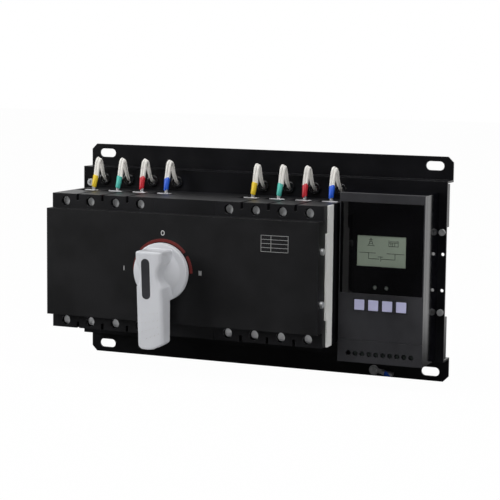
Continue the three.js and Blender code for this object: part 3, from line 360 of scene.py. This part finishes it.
# %% Outlines, turned parts and slabs
def rounded(width, height, corner, arc=6, straight=1):
    """A rectangle with round corners: four quarter circles and `straight` points between them."""
    turns = np.linspace(0, np.pi / 2, arc)[None] + np.arange(4)[:, None] * np.pi / 2
    signs = np.array([[1, 1], [-1, 1], [-1, -1], [1, -1]])
    centres = signs * (np.array([width, height]) / 2 - corner)
    arcs = centres[:, None] + corner * np.stack([np.cos(turns), np.sin(turns)], -1)
    step = np.linspace(0, 1, straight + 2)[1:-1][None, :, None]
    starts, ends = arcs[:, -1:], np.roll(arcs[:, :1], -1, axis=0)
    return np.concatenate([arcs, starts + (ends - starts) * step], 1).reshape(-1, 2)


def turned(x, z, profile, around=28, loop=False):
    """Turned on the axis through (x, z) towards the viewer: rings of (radius, out) pairs."""
    turn = np.arange(around) * 2 * np.pi / around
    radius, depth = np.array(profile, float).T[..., None]
    return skin(at(x + radius * np.cos(turn), depth, z + radius * np.sin(turn)), loop)


def slab(x, z, width, height, out0, out1, corner=0.3, ease=0.1):
    """A flat plate with round corners, drawn in by `ease` at its front and back."""
    levels = [(ease, out0), (0, out0 + ease), (0, out1 - ease), (ease, out1)]
    rings = [at(x + u, level, z + v) for draw, level in levels
             for u, v in [rounded(width - 2 * draw, height - 2 * draw,
                                  max(corner - draw, 0.01), 4, 0).T]]
    return skin(rings)


# %% Rods, smooth paths and printed lines
def rod(path, radius, around=14, offset=0.0, twist=(0.0, 0.0)):
    """Circles square to a path. `offset` shifts the tube off the path, and `twist` in radians
    turns that shift from the path's start to its end."""
    path = np.asarray(path, float)
    ahead = np.gradient(path, axis=0)
    ahead /= np.linalg.norm(ahead, axis=1)[:, None]
    across = np.array([1.0, 0.0, 0.0]) - ahead * ahead[:, :1]
    across /= np.linalg.norm(across, axis=1)[:, None]
    over = np.cross(ahead, across)
    lean = np.linspace(*twist, len(path))[:, None]
    centre = path + offset * (across * np.cos(lean) + over * np.sin(lean))
    turn = np.arange(around) * 2 * np.pi / around
    radius = np.broadcast_to(radius, len(path))[:, None, None]
    ring = across[:, None] * np.cos(turn)[:, None] + over[:, None] * np.sin(turn)[:, None]
    return skin(centre[:, None] + radius * ring)


def smooth_path(points, count):
    """A curve through points: each pair is joined by a cubic that leaves along the chord
    between its neighbours (Catmull-Rom)."""
    points = np.asarray(points, float)
    padded = np.concatenate([2 * points[:1] - points[1:2], points,
                             2 * points[-1:] - points[-2:-1]])
    place = np.linspace(0, len(points) - 1, count)
    cell = np.minimum(place.astype(int), len(points) - 2)
    t = (place - cell)[:, None]
    a, b, c, d = (padded[cell + k] for k in range(4))
    return 0.5 * (2 * b + (c - a) * t + (2 * a - 5 * b + 4 * c - d) * t ** 2
                  + (3 * b - a - 3 * c + d) * t ** 3)


def strip(start, end, width, out0, out1):
    """A straight printed line between two (x, z) points, as a thin bar."""
    start, end = np.array(start, float), np.array(end, float)
    along = (end - start) / np.linalg.norm(end - start) * width / 2
    side = np.array([-along[1], along[0]])
    corners = np.array([start - along - side, end + along - side,
                        end + along + side, start - along + side])
    return skin([at(corners[:, 0], level, corners[:, 1]) for level in (out0, out1)])


# %% [markdown]
# ## Handle
# The hub is turned: a flat ring, then a straight cone. The grip is a row of rounded
# rectangles from top to tip. Its half width follows two circles of 21 mm radius beside the
# axis, which are the thumb scallops, and its tip is cut on a curve that is lower at the left.

# %% Grip
axis_x, _, axis_z = middle("handle_shaft")
grip_length, grip_above, grip_half, grip_slope = 105, 25, 15.0, 7.5
scallop_centre, scallop_radius, edge_round = 31.5, 21.0, 2.5

quarter = np.linspace(0, np.pi / 2, 6)
end_run, end_draw = edge_round * (1 - np.cos(quarter)), edge_round * (1 - np.sin(quarter))
travel = np.concatenate([end_run, np.linspace(3.5, 101.5, 66), grip_length - end_run[::-1]])
draw_in = np.concatenate([end_draw, np.zeros(66), end_draw[::-1]])
height = grip_above - travel
wall = np.sqrt(np.maximum(scallop_radius ** 2 - height ** 2, 0))
half_width = np.minimum(grip_half, scallop_centre - wall)
tip_x = [-15, -13.3, -10.7, -4.7, 2.4, 8.5, 15]
tip_rise = [3.6, 1.8, 0.6, 0.1, 1.0, 4.0, 7.8]
grip_rings = []
for down, inset, half, level in zip(travel, draw_in, half_width, height):
    back = (124.0 if level > -27 else 131.0) + inset
    front = 156.9 - grip_slope * down / grip_length - inset
    u, v = rounded(2 * (half - inset), front - back, 3.4, 7, 7).T
    rise = np.interp(u, tip_x, tip_rise) * np.clip((down - 60) / 45, 0, 1) ** 2
    grip_rings.append(at(axis_x + u, (front + back) / 2 + v, axis_z + level + rise))
print("grip:", len(grip_rings), "rings of", len(u), "points")

# %% Hub and dots
hub = turned(axis_x, axis_z, [(1, 121.7), (30, 121.7), (31, 122.3), (31, 127.2), (30.6, 128.1),
             (29.8, 128.5), (24.3, 128.5), (23.6, 128.9), (10.5, 140.8), (9, 141.6), (1, 142)], 96)
dots = []
for row, lean in enumerate((9, 12, 18, 24)):
    slope = math.tan(math.radians(lean))
    first, count = (-4.0, 4) if row == 3 else (-9.2, 5)
    for x in [first + 4.6 * column for column in range(count)]:
        z = -41 - 8.3 * row + slope * x
        face = 156.85 - grip_slope * (grip_above - z) / grip_length
        dots.append(turned(axis_x + x, axis_z + z,
                           [(0.62, face), (0.5, face + 0.25), (0.2, face + 0.38)], 12))
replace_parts(piece("handle_shell", [skin(grip_rings), hub], "handle_silver", "handle",
                  sharp=50), "handle")
piece("handle_grip_dots", dots, "print_white", "handle")
print("handle:", len(grip_rings), "rings,", len(dots), "dots")

# %% [markdown]
# ## Marks on the front cover
# The cover carries a red band around the handle, in two parts, and the three positions as
# plain signs: 0 for off and I or II for the supply that is on. The marks are thin printed
# layers. The rating plate keeps its ruled lines and stays empty.

# %% Marks
face = -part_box("front_cover")[0].y / MM
printed = (face, face + 0.06)


def band(start, end, inner, outer, out0, out1):
    """Part of a flat ring, between two angles in degrees clockwise from the top."""
    turn = np.radians(np.linspace(start, end, 40))[:, None]
    radius = np.array([inner, outer, outer, inner])
    level = np.array([out0, out0, out1, out1])
    return skin(at(axis_x + radius * np.sin(turn), level + 0 * turn,
                   axis_z + radius * np.cos(turn)))


piece("handle_band", [band(-50, 50, 31.6, 34.9, *printed), band(57.6, 90, 31.6, 34.9, *printed),
                      band(-90, -57.6, 31.6, 34.9, *printed)], "enamel_red")
oval = [(rounded(w, h, w / 2 - 0.01, 7, 0), level) for w, h, level in
        ((4.2, 5.4, printed[0]), (4.2, 5.4, printed[1]), (2.6, 3.8, printed[1]),
         (2.6, 3.8, printed[0]))]
signs = [skin([at(axis_x + o[:, 0], level, 36.5 + o[:, 1]) for o, level in oval], loop=True)]
signs += [strip((x, -5.6), (x, -1.4), 0.75, *printed) for x in (-112, -23.7, -21.7)]
piece("position_signs", signs, "print_white")
rules = [strip((46, z), (76, z), 0.3, *printed) for z in (40.4, 36.2, 32.0, 27.8, 23.6)]
rules += [strip((x, 23.6), (x, 40.4), 0.3, *printed) for x in (46, 57, 76)]
piece("rating_rules", rules, "print_white")
print("marks at", round(face, 2), "mm from the wall")

# %% [markdown]
# ## Terminals
# A tall screw stands in each access hole and clamps a lug at the bottom of its pocket. Plated
# clamps lie across the pocket's mouth. A rubber grommet lines each hole in the plate, where a
# sense lead passes. All three are turned or cut from flat stock, so slabs and profiles do.

# %% Terminal screws and clamps
pitch, top_row, bottom_row = 30, 64, -67  # between poles, and the heights of the screws
poles = [middle(f"{name}_breaker_base")[0] + pitch * (k - 1.5)
         for name in ("normal", "reserve") for k in range(4)]
screw = [(0.5, 43.6), (2.4, 43.6), (2.4, 99.6), (4.4, 99.6), (4.8, 100), (4.8, 103.3),
         (4.4, 103.7), (1.6, 103.8), (0.5, 103.5)]
piece("terminal_screws", [turned(x, z, screw) for x in poles for z in (top_row, bottom_row)],
      "screw_grey")
clamps = [slab(x, z, 17, 12, 43.5, 45.6, 1.0, 0.4) for x in poles for z in (65, -68)]
clamps += [slab(x, z, 18, 2.4, out0, out1, 0.5, 0.3)
           for x in poles for z in (70.4, -73.4) for out0, out1 in ((46.2, 48.4), (60.6, 63.4))]
piece("terminal_clamps", clamps, "tinned")
ring = [(2.7, 20.6), (4.2, 20.6), (4.2, 22.1), (6.4, 22.1), (6.8, 22.8), (6.2, 23.8),
        (4.6, 24.3), (3.2, 23.9), (2.7, 22.8)]
piece("plate_grommets", [turned(x + 3, 82, ring, 28, loop=True) for x in poles],
      "grommet_rubber")
print(len(poles), "poles from", round(poles[0], 1), "to", round(poles[-1], 1))

# %% [markdown]
# ## Sense leads
# Each lead is a short stem with a coloured sleeve, then two pale strands that arch back
# through the plate. The arch is a list of given points, made smooth, and the strands
# run side by side on it with a slight twist.

# %% Sense leads
bend = [(0, 39.4, 84), (0, 38.4, 88), (0.1, 36.6, 96), (0.3, 34.8, 102.4), (0.6, 32.2, 105),
        (0.9, 29.6, 102.6), (1.3, 27.8, 96), (1.8, 25.6, 89), (2.3, 22.6, 84), (2.7, 19, 82),
        (2.7, 14.4, 82)]
stem = [(43.6, 74.2), (43.5, 74.7), (42, 79.4), (39.5, 86.2), (39.3, 86.7)]
for k, x in enumerate(poles):
    name = f"{'normal' if k < 4 else 'reserve'}_sense_lead_{k % 4 + 1}"
    colour = list(sleeves)[k % 4]
    lean = (0.6, 0.6, -1.6, -1.2)[k % 4]
    route = smooth_path([(x + dx, -depth, z) for dx, depth, z in bend], 60)
    route[:, 0] += lean * np.linspace(1, 0, 60) ** 0.5
    strands = [rod(route, 1.7, 12, side * 1.4, (0.0, 1.1)) for side in (-1, 1)]
    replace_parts(piece(f"{name}_braid", strands, "sleeving"), name)
    lug = [slab(x, 64.5, 9, 13, 42.3, 43.3, 4, 0.2),
           rod([(x, -43.0, 69), (x, -43.3, 72), (x, -43.3, 77)], [1.2, 1.9, 1.9])]
    piece(f"{name}_lug", lug, "tinned")
    sleeve = rod([(x + lean * j / 4, -depth, z) for j, (depth, z) in enumerate(stem)],
                 [2.2, 2.7, 2.8, 3.2, 2.9])
    piece(f"{name}_sleeve", [sleeve], f"sleeve_{colour}")
print(len(poles), "leads, each along", len(route), "points")

# %% [markdown]
# ## Controller
# The display shows two supply lines that meet in one load line, as plain strokes. Slotted
# screws stand in the terminal holes, the lamps have thin rims, and the earth lug has a blue
# sleeve on its barrel.

# %% Display
low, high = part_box("lcd_panel")
glass = (low.x / MM, low.z / MM, (high.x - low.x) / MM, (high.z - low.z) / MM)
ink = (-low.y / MM, -low.y / MM + 0.05)


def stroke(x0, z0, x1, z1, width=0.5):
    """A line on the display, between points given as shares of its width and height."""
    return strip((glass[0] + glass[2] * x0, glass[1] + glass[3] * z0),
                 (glass[0] + glass[2] * x1, glass[1] + glass[3] * z1), width, *ink)


lines = [(.05, .44, .38, .44), (.61, .44, .97, .44), (.235, .44, .235, .25),
         (.78, .44, .78, .25), (.235, .25, .45, .25), (.49, .25, .78, .25),
         (.49, .18, .49, .33), (.43, .32, .53, .32)]
pylon = [(.235, .70, .28, .93), (.325, .70, .28, .93), (.245, .75, .315, .75),
         (.255, .81, .305, .81), (.24, .87, .32, .87), (.21, .68, .35, .68)]
generator = [(.65, .68, .84, .68), (.65, .68, .65, .88), (.84, .68, .84, .86),
             (.65, .80, .84, .80), (.69, .72, .69, .78), (.72, .68, .72, .80),
             (.77, .68, .77, .80), (.68, .84, .82, .84), (.84, .86, .80, .84)]
piece("display_strokes", [stroke(*line) for line in lines + pylon + generator], "display_ink")
print(len(lines + pylon + generator), "strokes")

# %% Lamps, keys and terminal screws
rims = [turned(*middle(node)[::2], [(1.75, 69.9), (2.3, 69.9), (2.3, 70.15), (1.75, 70.15)],
               28, loop=True) for node in ("indicator_1", "indicator_2")]
piece("lamp_rims", rims, "terminal_screw")
for key in ("key_1", "key_2", "key_3", "key_4"):
    x, _, z = middle(key)
    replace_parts(piece(f"{key}_foot", [slab(x, z, 12.2, 12.2, 61, 70.05, 0.6, 0.2)],
                      "controller_grey", key), key)
    piece(f"{key}_cap", [slab(x, z, 10.9, 10.9, 70, 70.78, 0.5, 0.25)], "key", key)
block_x, row = middle("terminal_block")[0], -84.2
heads = []
head = [(0.2, 67.3), (2.4, 67.3), (2.4, 68.0), (2.1, 68.3), (0.2, 68.3)]
for k in range(1, 10):  # the first hole has no screw
    x = block_x + (k - 4.5) * 7.62
    heads += [turned(x, row, head, 20), *(slab(x + side * 0.95, row, 1.1, 3.6, 68.2, 68.6, 0.2, 0.05)
                                          for side in (-1, 1))]
piece("controller_terminal_screws", heads, "terminal_screw")
print(len(heads) // 3, "terminal screws")

# %% [markdown]
# ## Earth sleeve
# The ring terminal on the lower flange has a blue sleeve over its barrel. It is a short rod
# that runs back from the barrel's end, at the terminal's own tilt.

# %% Earth sleeve
low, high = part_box("earth_lug")
barrel_radius = 2.6
tip = Vector((high.x / MM, (low.y + high.y) / 2 / MM, low.z / MM + barrel_radius))
tilt = math.radians(8)
run = Vector((math.cos(tilt), 0, -math.sin(tilt)))
reach = [tip - run * back for back in (9.5, 9.2, 5, 1.2, 0.9)]
earth = rod([tuple(p) for p in reach], [2.5, 2.9, 2.9, 2.7, 2.3])
piece("earth_sleeve", [earth], "sleeve_blue")
print("earth sleeve ends at", [round(v, 1) for v in reach[-1]])

# %% [markdown]
# ## Light
# Three soft lamps: a tall one at the left, a wide one above and a weak one at the right. The
# left one is the main one, so the handle's right side falls into a grey gradient.

# %% Softboxes
def box_light(name, size, place, watts, aim=(0, -0.05, 0)):
    """A rectangular lamp that faces `aim`, which is the middle of the object."""
    data = bpy.data.lights.new(name, "AREA")
    data.shape, data.size, data.size_y = "RECTANGLE", *size
    data.energy = watts
    lamp = bpy.data.objects.new(name, data)
    lamp.location = place
    lamp.rotation_euler = (Vector(aim) - Vector(place)).to_track_quat("-Z", "Y").to_euler()
    bpy.context.collection.objects.link(lamp)


box_light("left_softbox", (0.7, 1.4), (-1.9, -1.3, 0.9), 30)
box_light("top_softbox", (1.6, 0.8), (0.2, -0.6, 1.6), 24)
box_light("right_softbox", (0.6, 1.2), (1.9, -0.9, 0.5), 7, aim=(0.1, -0.05, 0))

# %% [markdown]
# ## Floor and surround
# Black gloss shows whatever it faces. The floor and the sky are plain white to the camera and
# to reflections that go back behind the object, which gives the bright strip on the
# controller's side. Reflections that come forward meet a dim studio, so the fronts stay deep.

# %% Floor
half = 6.0
floor_mesh = bpy.data.meshes.new("floor")
floor_mesh.from_pydata([(-half, -half, 0), (half, -half, 0), (half, half, 0), (-half, half, 0)],
                       [], [(0, 1, 2, 3)])
floor = bpy.data.objects.new("floor", floor_mesh)
floor.location.z = cad_box[0][2] - 0.0005
bpy.context.collection.objects.link(floor)

pale = bpy.data.materials.new("pale_floor")
pale.use_nodes = True
tree = pale.node_tree
tree.nodes.clear()
seen = make(tree, "ShaderNodeLightPath")
spot = make(tree, "ShaderNodeSeparateXYZ",
            inputs={0: out(make(tree, "ShaderNodeNewGeometry"), "Position")})
mirrored = out(seen, "Is Glossy Ray")
dimmed = mirrored * (1 - out(spot, "Y").between(0.0, 0.5))
direct = (out(seen, "Is Camera Ray") + mirrored + out(seen, "Is Transmission Ray")).clamped()
matte = make(tree, "ShaderNodeBsdfDiffuse", inputs={"Color": (0.8, 0.8, 0.8)})
glow = make(tree, "ShaderNodeEmission",
            inputs={"Color": (1, 1, 1), "Strength": 1 - dimmed * 0.97})
both = make(tree, "ShaderNodeMixShader", inputs={0: direct * 0.985, 1: out(matte), 2: out(glow)})
make(tree, "ShaderNodeOutputMaterial", inputs={"Surface": out(both)})
floor_mesh.materials.append(pale)
print("floor at", round(floor.location.z, 4), "m")

# %% Sky
world = bpy.data.worlds.new("studio")
bpy.context.scene.world = world
world.use_nodes = True
tree = world.node_tree
tree.nodes.clear()
seen = make(tree, "ShaderNodeLightPath")
way = make(tree, "ShaderNodeSeparateXYZ",
           inputs={0: out(make(tree, "ShaderNodeTexCoord"), "Generated")})
behind = out(way, "Y").between(0.1, 0.6)
glossy = out(seen, "Is Glossy Ray") * behind
plain = (out(seen, "Is Camera Ray") + glossy + out(seen, "Is Transmission Ray")).clamped()
dim = make(tree, "ShaderNodeBackground", inputs={"Color": (1, 1, 1), "Strength": 0.05})
white = make(tree, "ShaderNodeBackground", inputs={"Color": (1, 1, 1), "Strength": 1.0})
mixed = make(tree, "ShaderNodeMixShader", inputs={0: plain, 1: out(dim), 2: out(white)})
make(tree, "ShaderNodeOutputWorld", inputs={"Surface": out(mixed)})
bpy.context.scene.view_settings.view_transform = "Standard"
print("sky: white behind, dim in front")
